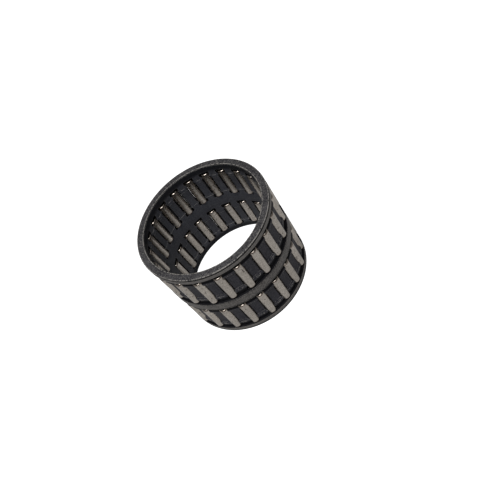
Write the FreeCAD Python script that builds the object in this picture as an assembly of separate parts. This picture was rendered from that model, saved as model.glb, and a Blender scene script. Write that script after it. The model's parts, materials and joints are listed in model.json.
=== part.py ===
import FreeCAD, Part
import math
import os

# Double-row needle roller and cage assembly, in millimetres.
# The origin is the centre of the lower end face, and +Z runs up along the bearing's axis.

# Raceways and rollers
shaft_diameter = 38.0
roller_diameter = 3.0
roller_length = 11.8
roller_end_radius = 0.3
rollers_per_row = 21

# Cage: its bore and its outside, the two end rims, and the rib between the rows
shaft_clearance = 0.5
housing_clearance = 0.08
rim_width = 2.35
rib_width = 4.5
rim_chamfer = 0.15
bore_chamfer = 0.2

# Cage: the ground lands on the rims and the rib, and the V-shaped relief turned into each land
rim_land_width = 1.95
rib_land_width = 3.5
rim_relief_margin = 0.2
rim_relief_width = 0.5
rim_relief_depth = 0.25
rib_relief_margin = 0.15
rib_relief_width = 0.25
rib_relief_depth = 0.1

# Cage: the profiled bars, from each end a groove, a raised pad, and the thin web between the pads
groove_depth = 0.75
groove_length = 1.1
pad_depth = 0.45
pad_length = 1.7
web_depth = 0.9
pad_slope = 45.0

# Pockets: the round seats that guide the rollers, and the windows that open them outwards and inwards
roller_end_play = 0.6
roller_seat_gap = 0.05
pocket_side_clearance = 0.05
lip_overlap = 0.15
web_window_clearance = 0.1
inner_window_clearance = 0.25
inner_window_depth = 0.5
inner_lip_start = 1.5
inner_lip_length = 0.9

# Pockets: the widened ends, which keep their corners clear of the rollers' ends
corner_relief = 0.2
corner_relief_length = 0.9

# Tools that cut through the wall reach this far past it
cut_overshoot = 1.0

# Sizes that follow from the ones above
roller_radius = roller_diameter / 2
pitch_radius = shaft_diameter / 2 + roller_radius
seat_radius = roller_radius + pocket_side_clearance
bore_radius = shaft_diameter / 2 + shaft_clearance
outer_radius = shaft_diameter / 2 + roller_diameter - housing_clearance
groove_radius = outer_radius - groove_depth
pad_radius = outer_radius - pad_depth
web_radius = outer_radius - web_depth
pocket_length = roller_length + roller_end_play
cage_width = 2 * rim_width + 2 * pocket_length + rib_width
lower_row = rim_width
upper_row = rim_width + pocket_length + rib_width
web_start = groove_length + pad_length
roller_pitch_angle = 360.0 / rollers_per_row

axis_up = FreeCAD.Vector(0, 0, 1)
centre = FreeCAD.Vector(0, 0, 0)


def relief(start, width, depth):
    """Corners of one V-shaped relief in a land, which begins at the height given."""
    return [(outer_radius, start), (outer_radius - depth, start + width / 2), (outer_radius, start + width)]


def lower_half_outside():
    """Radius and height of each corner of the outside, from the lower face up to the middle of the rib."""
    slope = 1 / math.tan(math.radians(pad_slope))
    groove_rise = (pad_radius - groove_radius) * slope
    web_rise = (pad_radius - web_radius) * slope
    pocket_top = lower_row + pocket_length
    rib_land = (cage_width - rib_land_width) / 2
    return [
        (outer_radius - rim_chamfer, 0),
        (outer_radius, rim_chamfer),
        *relief(rim_relief_margin, rim_relief_width, rim_relief_depth),
        (outer_radius, rim_land_width),
        (groove_radius, rim_land_width),
        (groove_radius, lower_row + groove_length),
        (pad_radius, lower_row + groove_length + groove_rise),
        (pad_radius, lower_row + web_start - web_rise),
        (web_radius, lower_row + web_start),
        (web_radius, pocket_top - web_start),
        (pad_radius, pocket_top - web_start + web_rise),
        (pad_radius, pocket_top - groove_length - groove_rise),
        (groove_radius, pocket_top - groove_length),
        (groove_radius, rib_land),
        (outer_radius, rib_land),
        *relief(rib_land + rib_relief_margin, rib_relief_width, rib_relief_depth),
    ]


def lower_half_inside():
    """Radius and height of each corner of the bore, from the lower face up to the middle of the rib."""
    return [(bore_radius + bore_chamfer, 0), (bore_radius, bore_chamfer)]


def mirrored(corners):
    """The same corners seen in the middle plane of the cage, in the order that carries on upwards."""
    return [(radius, cage_width - height) for radius, height in reversed(corners)]


def cage_blank():
    """The cage before its pockets are cut: one closed outline turned about the axis."""
    outside = lower_half_outside()
    inside = lower_half_inside()
    outline = outside + mirrored(outside) + list(reversed(inside + mirrored(inside)))
    points = [FreeCAD.Vector(radius, 0, height) for radius, height in outline]
    wire = Part.makePolygon(points + points[:1])
    return Part.Face(wire).revolve(centre, axis_up, 360)


def window(width, length, height, inner_radius, end_radius):
    """A box on +X between two radii, centred on the XZ plane, with its lower face at the height given."""
    corner = FreeCAD.Vector(inner_radius, -width / 2, height)
    return Part.makeBox(end_radius - inner_radius, width, length, corner)


def pocket(row_height):
    """One pocket on +X: a seat round the roller, narrow between its lips and wider everywhere else."""
    inside = bore_radius - cut_overshoot
    outside = outer_radius + cut_overshoot
    row_top = row_height + pocket_length
    seat = Part.makeCylinder(seat_radius, pocket_length, FreeCAD.Vector(pitch_radius, 0, row_height))
    lips = window(roller_diameter - 2 * lip_overlap, pocket_length, row_height, inside, outside)
    web_width = 2 * (roller_radius + web_window_clearance)
    web = window(web_width, pocket_length - 2 * web_start, row_height + web_start, pitch_radius, outside)
    openings = [lips, web]
    inner_width = 2 * (roller_radius + inner_window_clearance)
    inner_end = bore_radius + inner_window_depth
    lip_end = inner_lip_start + inner_lip_length
    middle_length = pocket_length - 2 * lip_end
    openings.append(window(inner_width, middle_length, row_height + lip_end, inside, inner_end))
    for end in (row_height, row_top - inner_lip_start):
        openings.append(window(inner_width, inner_lip_start, end, inside, inner_end))
    end_width = 2 * (seat_radius + corner_relief)
    for end in (row_height, row_top - corner_relief_length):
        openings.append(window(end_width, corner_relief_length, end, inside, outside))
    return seat.fuse(openings).removeSplitter()


def round_the_axis(shape, index):
    """A copy of a shape made on +X, turned to its place in the row."""
    copy = shape.copy()
    copy.rotate(centre, axis_up, index * roller_pitch_angle)
    return copy


def cage():
    tools = []
    for row_height in (lower_row, upper_row):
        tool = pocket(row_height)
        tools += [round_the_axis(tool, index) for index in range(rollers_per_row)]
    return cage_blank().cut(tools)


def roller(row_height):
    """One needle on +X, standing low in its pocket as its weight leaves it, with both end corners rounded."""
    base = FreeCAD.Vector(pitch_radius, 0, row_height + roller_seat_gap)
    blank = Part.makeCylinder(roller_radius, roller_length, base)
    end_circles = [edge for edge in blank.Edges if isinstance(edge.Curve, Part.Circle)]
    return blank.makeFillet(roller_end_radius, end_circles)


def save(shape, node):
    shape.exportStep("parts/" + node + ".step")


os.makedirs("parts", exist_ok=True)

save(cage(), "cage")

for row_name, row_height in (("lower", lower_row), ("upper", upper_row)):
    first_roller = roller(row_height)
    for index in range(rollers_per_row):
        save(round_the_axis(first_roller, index), f"{row_name}_roller_{index + 1:02d}")
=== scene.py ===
import json
import math
import random

import bmesh
import bpy
from mathutils import Matrix, Vector


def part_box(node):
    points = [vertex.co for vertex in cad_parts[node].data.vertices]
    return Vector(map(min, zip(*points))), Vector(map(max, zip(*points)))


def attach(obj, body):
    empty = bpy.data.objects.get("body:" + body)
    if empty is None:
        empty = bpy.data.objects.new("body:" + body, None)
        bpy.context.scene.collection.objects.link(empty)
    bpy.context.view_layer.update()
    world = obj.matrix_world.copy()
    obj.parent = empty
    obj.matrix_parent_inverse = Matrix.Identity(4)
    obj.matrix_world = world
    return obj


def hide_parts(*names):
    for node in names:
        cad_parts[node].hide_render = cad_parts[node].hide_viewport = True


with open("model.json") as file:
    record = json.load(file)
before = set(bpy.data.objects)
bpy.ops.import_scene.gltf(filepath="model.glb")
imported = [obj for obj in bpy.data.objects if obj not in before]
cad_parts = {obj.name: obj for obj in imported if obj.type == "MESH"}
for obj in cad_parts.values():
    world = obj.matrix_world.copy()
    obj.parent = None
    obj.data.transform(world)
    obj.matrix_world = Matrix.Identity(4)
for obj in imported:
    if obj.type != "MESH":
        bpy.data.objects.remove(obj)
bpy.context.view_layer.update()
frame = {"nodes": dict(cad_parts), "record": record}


# The cage: one ring of steel that keeps both rows of needles apart. It is turned from
# tube, its windows are milled, it is phosphated black, and last its three lands are
# ground, which leaves them brighter than the rest. Its sizes here are in millimetres.
mm = 0.001
seats = {mount["name"]: mount["dims"] for mount in frame["record"]["mounts"]}
needle_nodes = sorted(name for name in frame["nodes"] if "_roller_" in name)
needles_per_row = len(needle_nodes) // 2
pitch_angle = math.tau / needles_per_row
first_low, first_high = (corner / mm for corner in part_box("lower_roller_01"))
second_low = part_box("upper_roller_01")[0] / mm

shaft_clearance = 0.5
needle_end_play = 0.6
needle_seat_gap = 0.05
cage_width = seats["outside"]["length_mm"]
half_width = cage_width / 2
outer_radius = seats["outside"]["r_mm"]
bore_radius = seats["shaft_seat"]["r_mm"] + shaft_clearance
needle_radius = (first_high.x - first_low.x) / 2
pitch_radius = (first_high.x + first_low.x) / 2
pocket_length = first_high.z - first_low.z + needle_end_play
pocket_floors = (first_low.z - needle_seat_gap, second_low.z - needle_seat_gap)

rim_chamfer = 0.15
bore_chamfer = 0.2
rim_land_width = 1.95
rib_land_width = 3.5
rim_relief = (0.2, 0.5, 0.25)
rib_relief = (0.15, 0.25, 0.1)
groove_depth = 0.75
groove_length = 1.1
pad_depth = 0.45
pad_length = 1.7
web_depth = 0.9
groove_radius = outer_radius - groove_depth
pad_radius = outer_radius - pad_depth
web_radius = outer_radius - web_depth
web_start = groove_length + pad_length
polish_depth = 0.05
polish_from_floor = 1.7
polish_from_top = 3.3


def relief_corners(start, margin, width, depth):
    """The narrow V turned into a land beside the edge that it starts from, as radius and height."""
    low = start + margin
    return [(outer_radius, low), (outer_radius - depth, low + width / 2), (outer_radius, low + width)]


def half_outside():
    """The outside of the cage from its lower face to the middle of the rib, as radius and height."""
    floor = pocket_floors[0]
    top = floor + pocket_length
    rib_land = half_width - rib_land_width / 2
    web_rise = pad_radius - web_radius
    groove_rise = pad_radius - groove_radius
    return [
        (outer_radius - rim_chamfer, 0),
        (outer_radius, rim_chamfer),
        *relief_corners(0, *rim_relief),
        (outer_radius, rim_land_width),
        (groove_radius, rim_land_width),
        (groove_radius, floor + groove_length),
        (pad_radius, floor + groove_length + groove_rise),
        (pad_radius, floor + web_start - web_rise),
        (web_radius, floor + web_start),
        (web_radius, top - web_start),
        (pad_radius, top - web_start + web_rise),
        (pad_radius, top - groove_length - groove_rise),
        (groove_radius, top - groove_length),
        (groove_radius, rib_land),
        (outer_radius, rib_land),
        *relief_corners(rib_land, *rib_relief),
    ]


def bore_corners():
    """The bore from the lower face to the upper one, with the polished band behind each row of windows."""
    corners = [(bore_radius + bore_chamfer, 0), (bore_radius, bore_chamfer)]
    for floor in pocket_floors:
        start = floor + polish_from_floor
        end = floor + pocket_length - polish_from_top
        corners += [
            (bore_radius, start),
            (bore_radius + polish_depth, start + polish_depth),
            (bore_radius + polish_depth, end - polish_depth),
            (bore_radius, end),
        ]
    return corners + [(bore_radius, cage_width - bore_chamfer), (bore_radius + bore_chamfer, cage_width)]


slice_steps = 11


def cage_slice():
    """One needle's share of the plain ring, a closed wedge with the middle of its bar on +X."""
    lower = half_outside()
    upper = [(radius, cage_width - height) for radius, height in reversed(lower)]
    outline = lower + upper + list(reversed(bore_corners()))
    bm = bmesh.new()
    turn = Matrix.Rotation(-pitch_angle / 2, 4, "Z")
    corners = [bm.verts.new(turn @ Vector((radius, 0, height))) for radius, height in outline]
    face = bm.faces.new(corners)
    bmesh.ops.spin(
        bm, geom=[face, *face.edges, *face.verts], cent=(0, 0, 0), axis=(0, 0, 1), angle=pitch_angle,
        steps=slice_steps)
    bmesh.ops.recalc_face_normals(bm, faces=bm.faces)
    return bm


def add_block(bm, low, high, turn):
    """A box between two corners, in a frame that has the pocket's middle on +X, turned to its place."""
    low, high = Vector(low), Vector(high)
    size = Matrix.Diagonal((*(high - low), 1))
    bmesh.ops.create_cube(bm, size=1, matrix=turn @ Matrix.Translation((low + high) / 2) @ size)


lip_overlap = 0.15
web_gap = 0.2
wide_gap = 0.25
seat_gap = 0.05
lip_half = needle_radius - lip_overlap
web_half = needle_radius + web_gap
wide_half = needle_radius + wide_gap
seat_radius = needle_radius + seat_gap
seat_sides = 28
end_length = 0.9
inner_depth = 0.5
inner_lip = (1.5, 2.4)
lip_past_pad = 0.35
cut_past = 1
inside = bore_radius - cut_past
outside = outer_radius + cut_past


def add_flared_window(bm, floor, turn):
    """The wide middle of a window, which narrows at 45 degrees to the lips on the pads at both ends."""
    flare = web_half - lip_half
    low = floor + web_start - lip_past_pad
    high = floor + pocket_length - web_start + lip_past_pad
    ends = [(-lip_half, low), (lip_half, low), (web_half, low + flare), (web_half, high - flare)]
    ends += [(lip_half, high), (-lip_half, high), (-web_half, high - flare), (-web_half, low + flare)]
    face = bm.faces.new([bm.verts.new(turn @ Vector((pitch_radius, y, z))) for y, z in ends])
    raised = bmesh.ops.extrude_face_region(bm, geom=[face])["geom"]
    out = turn.to_3x3() @ Vector((outside - pitch_radius, 0, 0))
    bmesh.ops.translate(bm, vec=out, verts=[part for part in raised if isinstance(part, bmesh.types.BMVert)])


def add_pocket(bm, floor, angle):
    """Everything that is cut away for one needle: its round seat, its lips' gap and the wider windows."""
    turn = Matrix.Rotation(angle, 4, "Z")
    top = floor + pocket_length
    seat = turn @ Matrix.Translation((pitch_radius, 0, floor + pocket_length / 2))
    bmesh.ops.create_cone(
        bm, cap_ends=True, segments=seat_sides, radius1=seat_radius, radius2=seat_radius,
        depth=pocket_length, matrix=seat)
    add_block(bm, (inside, -lip_half, floor), (outside, lip_half, top), turn)
    add_flared_window(bm, floor, turn)
    for low, high in ((floor, floor + end_length), (top - end_length, top)):
        add_block(bm, (inside, -wide_half, low), (outside, wide_half, high), turn)
    inner_stops = (floor, floor + inner_lip[0], floor + inner_lip[1],
                   top - inner_lip[1], top - inner_lip[0], top)
    for low, high in zip(inner_stops[0::2], inner_stops[1::2]):
        add_block(bm, (inside, -wide_half, low), (bore_radius + inner_depth, wide_half, high), turn)


stake_width = 1.2
stake_height = 0.6
stake_depth = 0.1
stake_past_pad_middle = 0.2
outer_stake_middle = groove_length + pad_length / 2 + stake_past_pad_middle
inner_stake_middle = 1.9


def add_stakes(bm):
    """The rectangular dents of the staking punch on the middle of the bar, on its pads and in the bore."""
    upright = Matrix.Identity(4)
    for floor in pocket_floors:
        top = floor + pocket_length
        for middle in (floor + outer_stake_middle, top - outer_stake_middle):
            low = (pad_radius - stake_depth, -stake_width / 2, middle - stake_height / 2)
            add_block(bm, low, (outside, stake_width / 2, middle + stake_height / 2), upright)
    rim_sides = (pocket_floors[0] + inner_stake_middle, pocket_floors[1] + pocket_length - inner_stake_middle)
    for middle in rim_sides:
        high = (bore_radius + stake_depth, stake_width / 2, middle + stake_height / 2)
        add_block(bm, (inside, -stake_width / 2, middle - stake_height / 2), high, upright)


def workshop_object(bm, name):
    """A passing object for a cut, which is removed afterwards."""
    mesh = bpy.data.meshes.new(name)
    bm.to_mesh(mesh)
    bm.free()
    item = bpy.data.objects.new(name, mesh)
    bpy.context.collection.objects.link(item)
    return item


def cut_slice():
    """The wedge with half a pocket cut from each side of its bar in both rows, and its dents."""
    cutters = bmesh.new()
    for floor in pocket_floors:
        for side in (-pitch_angle / 2, pitch_angle / 2):
            add_pocket(cutters, floor, side)
    for face in cutters.faces:
        face.material_index = 1
    add_stakes(cutters)
    bmesh.ops.recalc_face_normals(cutters, faces=cutters.faces)
    blank = workshop_object(cage_slice(), "cage_blank")
    tool = workshop_object(cutters, "cage_cutters")
    cut = blank.modifiers.new("cut", "BOOLEAN")
    cut.operation = "DIFFERENCE"
    cut.solver = "EXACT"
    cut.use_self = True
    cut.object = tool
    shape = bpy.data.meshes.new_from_object(blank.evaluated_get(bpy.context.evaluated_depsgraph_get()))
    for item in (blank, tool):
        bpy.data.objects.remove(item)
    return shape


plane_tolerance = 0.0005
merge_distance = 0.002
joint_distance = 0.003


def on_slice_end(face):
    """Whether a face lies in one of the two planes that part the slice from its neighbours."""
    for side in (-pitch_angle / 2, pitch_angle / 2):
        normal = Vector((-math.sin(side), math.cos(side), 0))
        if all(abs(vert.co @ normal) < plane_tolerance for vert in face.verts):
            return True
    return False


edge_round = 0.05
edge_angle = math.radians(32)
smooth_angle = math.radians(38)
flat_angle = math.radians(0.3)


def cage_mesh():
    """The whole ring: the slice repeated round the axis, closed up, and its sharp edges broken."""
    bm = bmesh.new()
    bm.from_mesh(cut_slice())
    bmesh.ops.delete(bm, geom=[face for face in bm.faces if on_slice_end(face)], context="FACES")
    bmesh.ops.remove_doubles(bm, verts=bm.verts, dist=merge_distance)
    bmesh.ops.dissolve_limit(
        bm, angle_limit=flat_angle, verts=bm.verts, edges=bm.edges, use_dissolve_boundaries=False)
    piece = [*bm.verts, *bm.edges, *bm.faces]
    for index in range(1, needles_per_row):
        copied = bmesh.ops.duplicate(bm, geom=piece)["geom"]
        verts = [part for part in copied if isinstance(part, bmesh.types.BMVert)]
        bmesh.ops.rotate(bm, cent=(0, 0, 0), matrix=Matrix.Rotation(index * pitch_angle, 3, "Z"), verts=verts)
    middle_of_bar = Matrix.Rotation(pitch_angle / 2, 3, "Z")
    bmesh.ops.rotate(bm, cent=(0, 0, 0), matrix=middle_of_bar, verts=bm.verts)
    bmesh.ops.remove_doubles(bm, verts=bm.verts, dist=joint_distance)
    sharp = [edge for edge in bm.edges if len(edge.link_faces) == 2 and edge.calc_face_angle() > edge_angle]
    # The broken edges are marked for the materials, which paint them bright: partly wear, partly painted
    # highlight.
    worn = bm.faces.layers.float.new("worn")
    broken = bmesh.ops.bevel(
        bm, geom=sharp, affect="EDGES", offset=edge_round, offset_type="OFFSET", segments=2, profile=0.5,
        material=-1, clamp_overlap=False)
    for face in broken["faces"]:
        face[worn] = 1.0
    for face in bm.faces:
        face.smooth = True
    bmesh.ops.scale(bm, vec=(mm, mm, mm), verts=bm.verts)
    mesh = bpy.data.meshes.new("cage_body")
    bm.to_mesh(mesh)
    bm.free()
    mesh.set_sharp_from_angle(angle=smooth_angle)
    return mesh


def new_group(name, inputs, outputs):
    """An empty shader node group with named inputs, each with its usual value, and named outputs."""
    group = bpy.data.node_groups.new(name, "ShaderNodeTree")
    for label, kind, value in inputs:
        socket = group.interface.new_socket(label, in_out="INPUT", socket_type=kind)
        if value is not None:
            socket.default_value = value
    for label, kind in outputs:
        group.interface.new_socket(label, in_out="OUTPUT", socket_type=kind)
    return group, group.nodes.new("NodeGroupInput").outputs, group.nodes.new("NodeGroupOutput").inputs


def wire(tree, value, socket):
    """Sets a socket to a plain value, or links it to another node's output."""
    if isinstance(value, bpy.types.NodeSocket):
        tree.links.new(value, socket)
    else:
        socket.default_value = value


def compute(tree, operation, *values, clamp=False):
    """A Math node on one to three values."""
    node = tree.nodes.new("ShaderNodeMath")
    node.operation = operation
    node.use_clamp = clamp
    for value, socket in zip(values, node.inputs):
        wire(tree, value, socket)
    return node.outputs[0]


def ramp(tree, value, low, high, start=0.0, end=1.0):
    """A smooth step from start to end as the value goes from low to high."""
    node = tree.nodes.new("ShaderNodeMapRange")
    node.interpolation_type = "SMOOTHSTEP"
    limits = ((value, "Value"), (low, "From Min"), (high, "From Max"), (start, "To Min"), (end, "To Max"))
    for source, name in limits:
        wire(tree, source, node.inputs[name])
    return node.outputs[0]


def between(tree, value, low, high, soft=0.04):
    """1 where the value lies between two limits, and 0 elsewhere, with a soft border."""
    above = ramp(tree, value, low - soft, low + soft)
    return compute(tree, "MULTIPLY", above, ramp(tree, value, high - soft, high + soft, 1.0, 0.0))


def blended(tree, share, first, second):
    """One colour turning into another as the share goes from 0 to 1."""
    node = tree.nodes.new("ShaderNodeMix")
    node.data_type = "RGBA"
    for value, name in ((share, 0), (first, 6), (second, 7)):
        wire(tree, value, node.inputs[name])
    return node.outputs[2]


def noise(tree, vector, scale, detail=4.0, roughness=0.6):
    """The value of a Noise texture on the given coordinates."""
    node = tree.nodes.new("ShaderNodeTexNoise")
    wire(tree, vector, node.inputs["Vector"])
    wire(tree, scale, node.inputs["Scale"])
    node.inputs["Detail"].default_value = detail
    node.inputs["Roughness"].default_value = roughness
    return node.outputs["Fac"]


def grouped(tree, group, **values):
    """A node group placed in a material, with its inputs set by name."""
    node = tree.nodes.new("ShaderNodeGroup")
    node.node_tree = group
    for name, value in values.items():
        wire(tree, value, node.inputs[name.replace("_", " ")])
    return node.outputs


def new_material(name, slot_color, metallic, roughness):
    """A material with one Principled shader, and its colour for the solid view."""
    material = bpy.data.materials.new(name)
    material.use_nodes = True
    material.diffuse_color = (*slot_color, 1)
    shader = material.node_tree.nodes["Principled BSDF"]
    shader.inputs["Base Color"].default_value = (*slot_color, 1)
    shader.inputs["Metallic"].default_value = metallic
    shader.inputs["Roughness"].default_value = roughness
    return material, material.node_tree, shader


def roughened(tree, shader, height, strength, depth):
    """Gives a shader a bumpy surface from a height that varies over it, as deep as given in millimetres."""
    bump = tree.nodes.new("ShaderNodeBump")
    bump.inputs["Strength"].default_value = strength
    bump.inputs["Distance"].default_value = depth * mm
    tree.links.new(height, bump.inputs["Height"])
    tree.links.new(bump.outputs[0], shader.inputs["Normal"])


broad_grain = 0.12
fine_share = 0.8
speck_border = 0.04


def metal_grain_group():
    """Fine surface grain: a sandy mottle, and scattered pin-prick specks where it peaks."""
    group, given, out = new_group(
        "metal_grain",
        [("Position", "NodeSocketVector", None), ("Grain", "NodeSocketFloat", 4000.0),
         ("Specks", "NodeSocketFloat", 2500.0), ("Speck Share", "NodeSocketFloat", 0.3)],
        [("Mottle", "NodeSocketFloat"), ("Speck", "NodeSocketFloat"), ("Height", "NodeSocketFloat")])
    fine = noise(group, given["Position"], given["Grain"], 3.0, 0.7)
    broad = noise(group, given["Position"], compute(group, "MULTIPLY", given["Grain"], broad_grain), 3.0, 0.6)
    fine_part = compute(group, "MULTIPLY", fine, fine_share)
    mottle = compute(group, "ADD", fine_part, compute(group, "MULTIPLY", broad, 1 - fine_share))
    peaks = noise(group, given["Position"], given["Specks"], 1.0, 0.5)
    limit = compute(group, "SUBTRACT", 1.0, given["Speck Share"])
    just_below = compute(group, "SUBTRACT", limit, speck_border)
    speck = ramp(group, peaks, just_below, compute(group, "ADD", limit, speck_border))
    group.links.new(mottle, out["Mottle"])
    group.links.new(speck, out["Speck"])
    group.links.new(fine, out["Height"])
    return group


def turned_position_group():
    """Where a point of the turned ring is: its distance from the axis and its height, in millimetres."""
    group, given, out = new_group(
        "turned_position", [("Position", "NodeSocketVector", None)],
        [("Radius", "NodeSocketFloat"), ("Height", "NodeSocketFloat")])
    parts = group.nodes.new("ShaderNodeSeparateXYZ")
    group.links.new(given["Position"], parts.inputs[0])
    across = compute(group, "MULTIPLY", parts.outputs["X"], parts.outputs["X"])
    along = compute(group, "MULTIPLY", parts.outputs["Y"], parts.outputs["Y"])
    radius = compute(group, "SQRT", compute(group, "ADD", across, along))
    group.links.new(compute(group, "DIVIDE", radius, mm), out["Radius"])
    group.links.new(compute(group, "DIVIDE", parts.outputs["Z"], mm), out["Height"])
    return group


metal_grain = metal_grain_group()
turned_position = turned_position_group()

# The blackest colour is painted shade in the grooves, the windows and the bore behind the rims, and the
# unground coat with painted shade in the V reliefs.
black_coat_and_shade = (0.002, 0.002, 0.004, 1)
coat_dark = (0.026, 0.026, 0.034, 1)
coat_light = (0.068, 0.067, 0.078, 1)
bore_dark = (0.060, 0.063, 0.078, 1)
bore_light = (0.098, 0.102, 0.118, 1)
face_dark = (0.034, 0.033, 0.036, 1)
face_light = (0.118, 0.114, 0.119, 1)
land_dark = (0.105, 0.098, 0.095, 1)
land_light = (0.235, 0.22, 0.208, 1)
# The bright edge colour paints wear and painted highlight on the broken edges, and the bright specks of the
# end faces.
bright_edge = (0.62, 0.59, 0.54, 1)
cage_gloss = 0.15
cage_grain = {"Grain": 2300.0, "Specks": 2600.0, "Speck_Share": 0.36}
grain_range = (0.3, 0.7)
mottle_range = (0.4, 0.6)
wear_and_glint_patches = (0.43, 0.52)
coat_roughness = (0.42, 0.58)
land_smoothing = 0.08
# How far the painted shadow under each land reaches past its groove onto the pad, in millimetres.
shadow_reach = 0.45
step_overlap = 0.03
face_border = (0.06, 0.02)
land_border = (0.05, 0.02)
bore_border = (0.3, 0.1)
shaded_bore = (3.2, 1.6)
inner_line = (0.02, 0.18)
outer_line = (-0.12, 0.05)
rim_shade = 0.8
groove_shade = 0.9
face_specks = 0.25
extra_rim_polish = 0.4
corner_wear_and_glint = 0.5
wear_and_glint_cover = 0.9
land_metal = 0.5
wear_metal = 0.3


def within_any(tree, value, bands):
    """1 where the value lies in any of several bands, each given by its two limits."""
    found = 0.0
    for low, high in bands:
        found = compute(tree, "MAXIMUM", found, between(tree, value, low, high))
    return found


def cage_material():
    """Black phosphated steel, sandy on its end faces, ground on its lands, bright on its edges from wear and
    painted highlight, and painted with shade in its grooves, V reliefs and the bore behind its rims.
    """
    material, tree, shader = new_material("phosphated_cage_steel", coat_light[:3], 0.0, 0.5)
    shader.inputs["Specular IOR Level"].default_value = cage_gloss
    position = tree.nodes.new("ShaderNodeTexCoord").outputs["Object"]
    place = grouped(tree, turned_position, Position=position)
    grain = grouped(tree, metal_grain, Position=position, **cage_grain)
    radius = place["Radius"]
    from_middle = compute(tree, "ABSOLUTE", compute(tree, "SUBTRACT", place["Height"], half_width))

    on_face = ramp(tree, from_middle, half_width - face_border[0], half_width - face_border[1])
    on_land = ramp(tree, radius, outer_radius - land_border[0], outer_radius - land_border[1])
    on_bore = ramp(tree, radius, bore_radius + bore_border[0], bore_radius + bore_border[1])
    off_bore = compute(tree, "SUBTRACT", 1.0, on_bore)
    # Painted shade: the bore for a few millimetres behind each rim is darkened towards black.
    bore_end = ramp(tree, from_middle, half_width - shaded_bore[0], half_width - shaded_bore[1])
    under_rim = compute(tree, "MULTIPLY", on_bore, bore_end)

    # Painted shadow: the grooves beside the lands and the pad ends next to them are darkened towards black,
    # as if the lands shaded them.
    rim_step = half_width - rim_land_width + step_overlap
    rim_groove_end = half_width - pocket_floors[0] - groove_length - shadow_reach
    rib_step = rib_land_width / 2 - step_overlap
    rib_groove_end = half_width - pocket_floors[0] - pocket_length + groove_length + shadow_reach
    in_groove = within_any(tree, from_middle, ((rim_groove_end, rim_step), (rib_step, rib_groove_end)))
    in_groove = compute(tree, "MULTIPLY", in_groove, off_bore)
    # The V reliefs are painted black: partly the unground coat left in them, partly painted shade for how
    # dark they look.
    relief_bands = [
        (land_edge - margin - width, land_edge - margin)
        for land_edge, (margin, width, depth) in ((half_width, rim_relief), (rib_land_width / 2, rib_relief))]
    in_relief = compute(tree, "MULTIPLY", within_any(tree, from_middle, relief_bands), off_bore)

    mottle = ramp(tree, grain["Mottle"], *mottle_range)
    coat = blended(tree, mottle, coat_dark, coat_light)
    coat = blended(tree, on_bore, coat, blended(tree, mottle, bore_dark, bore_light))
    # The painted shade of the bore behind the rims and the painted shadow of the grooves turn the coat
    # towards black, together with the V reliefs.
    in_shade = compute(tree, "MAXIMUM", compute(tree, "MULTIPLY", under_rim, rim_shade),
                       compute(tree, "MULTIPLY", in_groove, groove_shade))
    coat = blended(tree, compute(tree, "MAXIMUM", in_shade, in_relief), coat, black_coat_and_shade)
    face = blended(tree, mottle, face_dark, face_light)
    face = blended(tree, compute(tree, "MULTIPLY", grain["Speck"], face_specks), face, bright_edge)
    rim_start = half_width - rim_land_width
    rim_polish = ramp(tree, from_middle, rib_land_width / 2, rim_start, 0.0, extra_rim_polish)
    land = blended(tree, compute(tree, "ADD", mottle, rim_polish, clamp=True), land_dark, land_light)
    on_land = compute(tree, "MULTIPLY", on_land, compute(tree, "SUBTRACT", 1.0, in_relief))
    color = blended(tree, on_face, coat, face)
    color = blended(tree, on_land, color, land)

    # Bright edges: the broken edges and two thin lines at the rims of each end face are painted bright,
    # partly wear and partly painted highlight; the grooves and reliefs get none.
    inner_edge = bore_radius + bore_chamfer
    outer_edge = outer_radius - rim_chamfer
    lines = within_any(tree, radius, ((inner_edge + inner_line[0], inner_edge + inner_line[1]),
                                      (outer_edge + outer_line[0], outer_edge + outer_line[1])))
    worn = tree.nodes.new("ShaderNodeAttribute")
    worn.attribute_name = "worn"
    edge = compute(tree, "MAXIMUM", compute(tree, "MULTIPLY", worn.outputs["Fac"], corner_wear_and_glint),
                   compute(tree, "MULTIPLY", on_face, lines))
    edge = compute(tree, "MULTIPLY", edge, ramp(tree, grain["Mottle"], *wear_and_glint_patches))
    sheltered = compute(tree, "MAXIMUM", in_relief, in_groove)
    edge = compute(tree, "MULTIPLY", edge, compute(tree, "SUBTRACT", 1.0, sheltered))
    color = blended(tree, compute(tree, "MULTIPLY", edge, wear_and_glint_cover), color, bright_edge)
    tree.links.new(color, shader.inputs["Base Color"])

    metal = compute(tree, "MAXIMUM", compute(tree, "MULTIPLY", on_land, land_metal),
                    compute(tree, "MULTIPLY", edge, wear_metal))
    tree.links.new(metal, shader.inputs["Metallic"])
    rough = ramp(tree, grain["Mottle"], *grain_range, *coat_roughness)
    rough = compute(tree, "SUBTRACT", rough, compute(tree, "MULTIPLY", on_land, land_smoothing))
    tree.links.new(rough, shader.inputs["Roughness"])
    roughened(tree, shader, grain["Height"], strength=0.35, depth=0.03)
    return material


# The window walls' colours are near black: painted shade of the deep windows.
wall_light = (0.012, 0.012, 0.016, 1)
wall_gloss = 0.1
wall_grain = {"Grain": 3000.0, "Specks": 4200.0, "Speck_Share": 0.3}
wall_mottle = (0.4, 0.7)
wall_patches = (0.5, 0.6)
wall_wear_and_glint = 0.3
wall_roughness = (0.36, 0.55)


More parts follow.
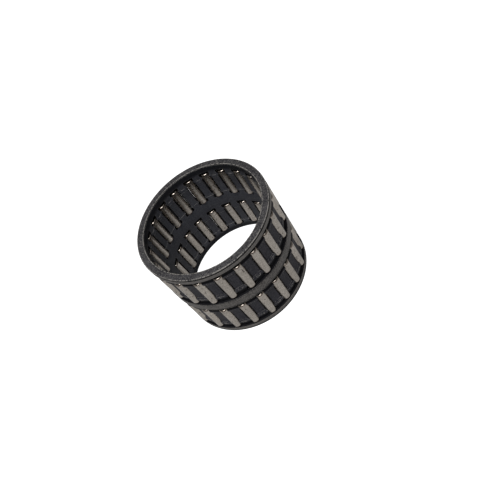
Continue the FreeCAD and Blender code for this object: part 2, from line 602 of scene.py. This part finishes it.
def window_material():
    """The milled walls of the windows: the same coat, painted near black as painted shade deep in the
    windows, with wear and painted highlight on their broken edges.
    """
    material, tree, shader = new_material("window_wall_steel", coat_dark[:3], 0.0, 0.45)
    shader.inputs["Specular IOR Level"].default_value = wall_gloss
    position = tree.nodes.new("ShaderNodeTexCoord").outputs["Object"]
    grain = grouped(tree, metal_grain, Position=position, **wall_grain)
    coat = blended(tree, ramp(tree, grain["Mottle"], *wall_mottle), black_coat_and_shade, wall_light)
    worn = tree.nodes.new("ShaderNodeAttribute")
    worn.attribute_name = "worn"
    edge = compute(tree, "MULTIPLY", worn.outputs["Fac"], ramp(tree, grain["Mottle"], *wall_patches))
    color = blended(tree, compute(tree, "MULTIPLY", edge, wall_wear_and_glint), coat, bright_edge)
    tree.links.new(color, shader.inputs["Base Color"])
    rough = ramp(tree, grain["Mottle"], *grain_range, *wall_roughness)
    tree.links.new(rough, shader.inputs["Roughness"])
    roughened(tree, shader, grain["Height"], strength=0.3, depth=0.03)
    return material


cage_piece = bpy.data.objects.new("cage_body", cage_mesh())
bpy.context.collection.objects.link(cage_piece)
cage_piece.data.materials.append(cage_material())
cage_piece.data.materials.append(window_material())
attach(cage_piece, "cage")
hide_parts("cage")


# The needles: two rows of through-hardened bearing steel rollers, cut from wire, tumbled
# to round their ends and ground between wheels to a fine satin; their ends carry a painted
# brown and dark reflection. Each one snaps into its window and turns on its own axis.
needle_length = first_high.z - first_low.z
end_round = 0.42
end_round_height = 0.408
end_dome = 0.06
end_dimple = 0.02
end_mark = 0.3
dome_shoulder = (0.6, 0.3)
round_steps = 6
barrel_rings = (0.25, 0.5, 0.75)
turn_steps = 40
pole_distance = 0.0005
centre_distance = 0.01
joints = {joint["child"]: joint for joint in frame["record"]["behaviour"]["joints"]}


def needle_outline():
    """Half the needle's section from the middle of one end to the middle of the other, radius and height."""
    flat = needle_radius - end_round
    lower = [(0, end_dimple), (end_mark, 0.0), (flat * dome_shoulder[0], end_dome * dome_shoulder[1])]
    for step in range(round_steps + 1):
        angle = step / round_steps * math.pi / 2
        rise = end_round_height * (1 - math.cos(angle))
        lower.append((flat + end_round * math.sin(angle), end_dome + rise))
    middle = [(needle_radius, needle_length * share) for share in barrel_rings]
    upper = [(radius, needle_length - height) for radius, height in reversed(lower)]
    return lower + middle + upper


def needle_form():
    """One needle standing on the origin, with its surface laid out flat in a UV map, in millimetres."""
    bm = bmesh.new()
    corners = [bm.verts.new((radius, 0, height)) for radius, height in needle_outline()]
    edges = [bm.edges.new(pair) for pair in zip(corners, corners[1:])]
    bmesh.ops.spin(
        bm, geom=corners + edges, cent=(0, 0, 0), axis=(0, 0, 1), angle=math.tau, steps=turn_steps,
        use_merge=True)
    bmesh.ops.remove_doubles(bm, verts=bm.verts, dist=pole_distance)
    bmesh.ops.recalc_face_normals(bm, faces=bm.faces)
    unrolled = bm.loops.layers.uv.new("unrolled")
    for face in bm.faces:
        face.smooth = True
        middle = face.calc_center_median()
        face_angle = math.atan2(middle.y, middle.x)
        for loop in face.loops:
            point = loop.vert.co
            from_axis = point.xy.length
            angle = face_angle if from_axis < centre_distance else math.atan2(point.y, point.x)
            angle += math.tau * round((face_angle - angle) / math.tau)
            along = point.z
            if from_axis <= needle_radius - end_round:
                along = point.z - needle_radius + from_axis
            loop[unrolled].uv = (angle * needle_radius, along)
    return bm


steel_dark = (0.44, 0.40, 0.352, 1)
steel_light = (0.76, 0.70, 0.63, 1)
pit_color = (0.05, 0.035, 0.03, 1)
# The brown tint and the dark brown ring below are painted reflection at the needles' ends.
end_reflection_tint = (0.30, 0.19, 0.13, 1)
ring_color = (0.10, 0.05, 0.035, 1)
mark_scale = (0.35, 9.0, 1.0)
mark_range = (0.3, 0.7)
needle_grain = {"Grain": 2300.0, "Specks": 1500.0, "Speck_Share": 0.325}
grain_shade = 0.3
mark_shade = 0.1
mark_height = 0.6
end_zone = (0.75, 0.1)
ring_reach = (0.1, 0.14)
ring_border = 0.06
pit_cover = 0.75
end_reflection_cover = 0.2
ring_cover = 0.85
needle_roughness = (0.19, 0.29)
end_polish = 0.06


def needle_material():
    """Fine ground bearing steel: hair-fine marks round it, a few dark pits, and a painted brown and dark
    reflection round its ends.
    """
    material, tree, shader = new_material("ground_needle_steel", (0.6, 0.55, 0.49), 1.0, 0.24)
    unrolled = tree.nodes.new("ShaderNodeUVMap")
    unrolled.uv_map = "unrolled"
    position = tree.nodes.new("ShaderNodeTexCoord").outputs["Object"]
    stretched = tree.nodes.new("ShaderNodeMapping")
    stretched.inputs["Scale"].default_value = mark_scale
    tree.links.new(unrolled.outputs[0], stretched.inputs["Vector"])
    marks = noise(tree, stretched.outputs[0], 1.0, 5.0, 0.65)
    grain = grouped(tree, metal_grain, Position=position, **needle_grain)
    lot = tree.nodes.new("ShaderNodeAttribute")
    lot.attribute_name = "lot"
    parts = tree.nodes.new("ShaderNodeSeparateXYZ")
    tree.links.new(unrolled.outputs[0], parts.inputs[0])
    half_length = needle_length / 2
    from_middle = compute(tree, "ABSOLUTE", compute(tree, "SUBTRACT", parts.outputs["Y"], half_length))
    at_end = ramp(tree, from_middle, half_length - end_zone[0], half_length - end_zone[1])

    grain_part = ramp(tree, grain["Mottle"], *mottle_range, -grain_shade, grain_shade)
    shade = compute(tree, "ADD", grain_part, ramp(tree, marks, *mark_range, -mark_shade, mark_shade))
    shade = compute(tree, "ADD", shade, lot.outputs["Fac"], clamp=True)
    color = blended(tree, shade, steel_dark, steel_light)
    color = blended(tree, compute(tree, "MULTIPLY", grain["Speck"], pit_cover), color, pit_color)
    # Painted reflection: a brown tint near each end and a dark brown ring where the rounding starts stand for
    # the dark and copper reflection round the end highlights.
    color = blended(tree, compute(tree, "MULTIPLY", at_end, end_reflection_cover), color, end_reflection_tint)
    ring = half_length - end_round
    in_ring = between(tree, from_middle, ring - ring_reach[0], ring + ring_reach[1], ring_border)
    color = blended(tree, compute(tree, "MULTIPLY", in_ring, ring_cover), color, ring_color)
    tree.links.new(color, shader.inputs["Base Color"])
    rough = ramp(tree, grain["Mottle"], *grain_range, *needle_roughness)
    rough = compute(tree, "SUBTRACT", rough, compute(tree, "MULTIPLY", at_end, end_polish))
    tree.links.new(rough, shader.inputs["Roughness"])
    mark_part = compute(tree, "MULTIPLY", marks, mark_height)
    height = compute(tree, "ADD", mark_part, compute(tree, "MULTIPLY", grain["Height"], 1 - mark_height))
    roughened(tree, shader, height, strength=0.3, depth=0.005)
    return material


needle_steel = needle_material()
one_needle = needle_form()
chance = random.Random(21)
middle_shade = 0.5
shade_spread = 0.12


def place_needle(node):
    """A copy of the needle in its window, turned by chance about its own axis and with its own shade."""
    bm = one_needle.copy()
    lot = bm.faces.layers.float.new("lot")
    shade = middle_shade + chance.uniform(-shade_spread, shade_spread)
    for face in bm.faces:
        face[lot] = shade
    axis = Vector(joints[node]["pos_m"])
    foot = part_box(node)[0].z
    turn = Matrix.Rotation(chance.uniform(0, math.tau), 4, "Z")
    bmesh.ops.transform(
        bm, matrix=Matrix.Translation((axis.x, axis.y, foot)) @ turn @ Matrix.Scale(mm, 4), verts=bm.verts)
    mesh = bpy.data.meshes.new(node + "_needle")
    bm.to_mesh(mesh)
    bm.free()
    mesh.materials.append(needle_steel)
    needle = bpy.data.objects.new(node + "_needle", mesh)
    bpy.context.collection.objects.link(needle)
    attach(needle, node)
    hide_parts(node)


for node in needle_nodes:
    place_needle(node)
one_needle.free()


# The stage: a plain white floor in a white room under one broad soft light. Floor and room
# are white only where the camera sees them itself, and light the bearing far more dimly.
floor_size = 4.0
floor_white = (0.6, 0.6, 0.6)
floor_glow = 0.05
room_light = 0.15
key_place = (-0.05, -0.14, 0.46)
key_size = 0.26
key_power = 1.15


def floor():
    """The floor, which shines so white for the camera that no shadow shows on it."""
    bm = bmesh.new()
    bmesh.ops.create_grid(bm, x_segments=1, y_segments=1, size=floor_size / 2)
    mesh = bpy.data.meshes.new("floor")
    bm.to_mesh(mesh)
    bm.free()
    material, tree, shader = new_material("floor_white", floor_white, 0.0, 0.9)
    shader.inputs["Emission Color"].default_value = (1, 1, 1, 1)
    seen = tree.nodes.new("ShaderNodeLightPath").outputs["Is Camera Ray"]
    tree.links.new(ramp(tree, seen, 0.0, 1.0, floor_glow, 1.0), shader.inputs["Emission Strength"])
    mesh.materials.append(material)
    item = bpy.data.objects.new("floor", mesh)
    bpy.context.collection.objects.link(item)


def soft_light(name, place, aim, width, power):
    """A square soft light that faces the aim point."""
    lamp = bpy.data.lights.new(name, "AREA")
    lamp.size = width
    lamp.energy = power
    item = bpy.data.objects.new(name, lamp)
    item.location = place
    item.rotation_euler = (Vector(aim) - Vector(place)).to_track_quat("-Z", "Y").to_euler()
    bpy.context.collection.objects.link(item)


bearing_middle = Vector((0, 0, half_width * mm))
floor()
soft_light("key", key_place, bearing_middle, key_size, key_power)
world = bpy.data.worlds.new("white_room")
bpy.context.scene.world = world
world.use_nodes = True
room = world.node_tree
background = room.nodes["Background"]
background.inputs["Color"].default_value = (1, 1, 1, 1)
seen = room.nodes.new("ShaderNodeLightPath").outputs["Is Camera Ray"]
room.links.new(ramp(room, seen, 0.0, 1.0, room_light, 1.0), background.inputs["Strength"])
bpy.context.scene.view_settings.view_transform = "Standard"


# The camera: above the front of the bearing, looking down into its bore, and rolled so
# that the bearing leans to the left.
camera_distance = 173.5 * mm
camera_azimuth = math.radians(-82.697)
camera_height = math.radians(47.684)
camera_roll = math.radians(-37.397)
aim_offset = Vector((5.925, -4.094, -3.863)) * mm
camera_lens = 38.893
camera_sensor = 36
camera_near = 0.01

level = math.cos(camera_height) * camera_distance
eye = bearing_middle + Vector((level * math.cos(camera_azimuth), level * math.sin(camera_azimuth),
                               math.sin(camera_height) * camera_distance))
sight = bearing_middle + aim_offset - eye
lens = bpy.data.cameras.new("camera")
lens.lens = camera_lens
lens.sensor_width = camera_sensor
lens.clip_start = camera_near
camera = bpy.data.objects.new("camera", lens)
bpy.context.collection.objects.link(camera)
aimed = sight.to_track_quat("-Z", "Y").to_matrix() @ Matrix.Rotation(camera_roll, 3, "Z")
camera.matrix_world = Matrix.Translation(eye) @ aimed.to_4x4()
bpy.context.scene.camera = camera
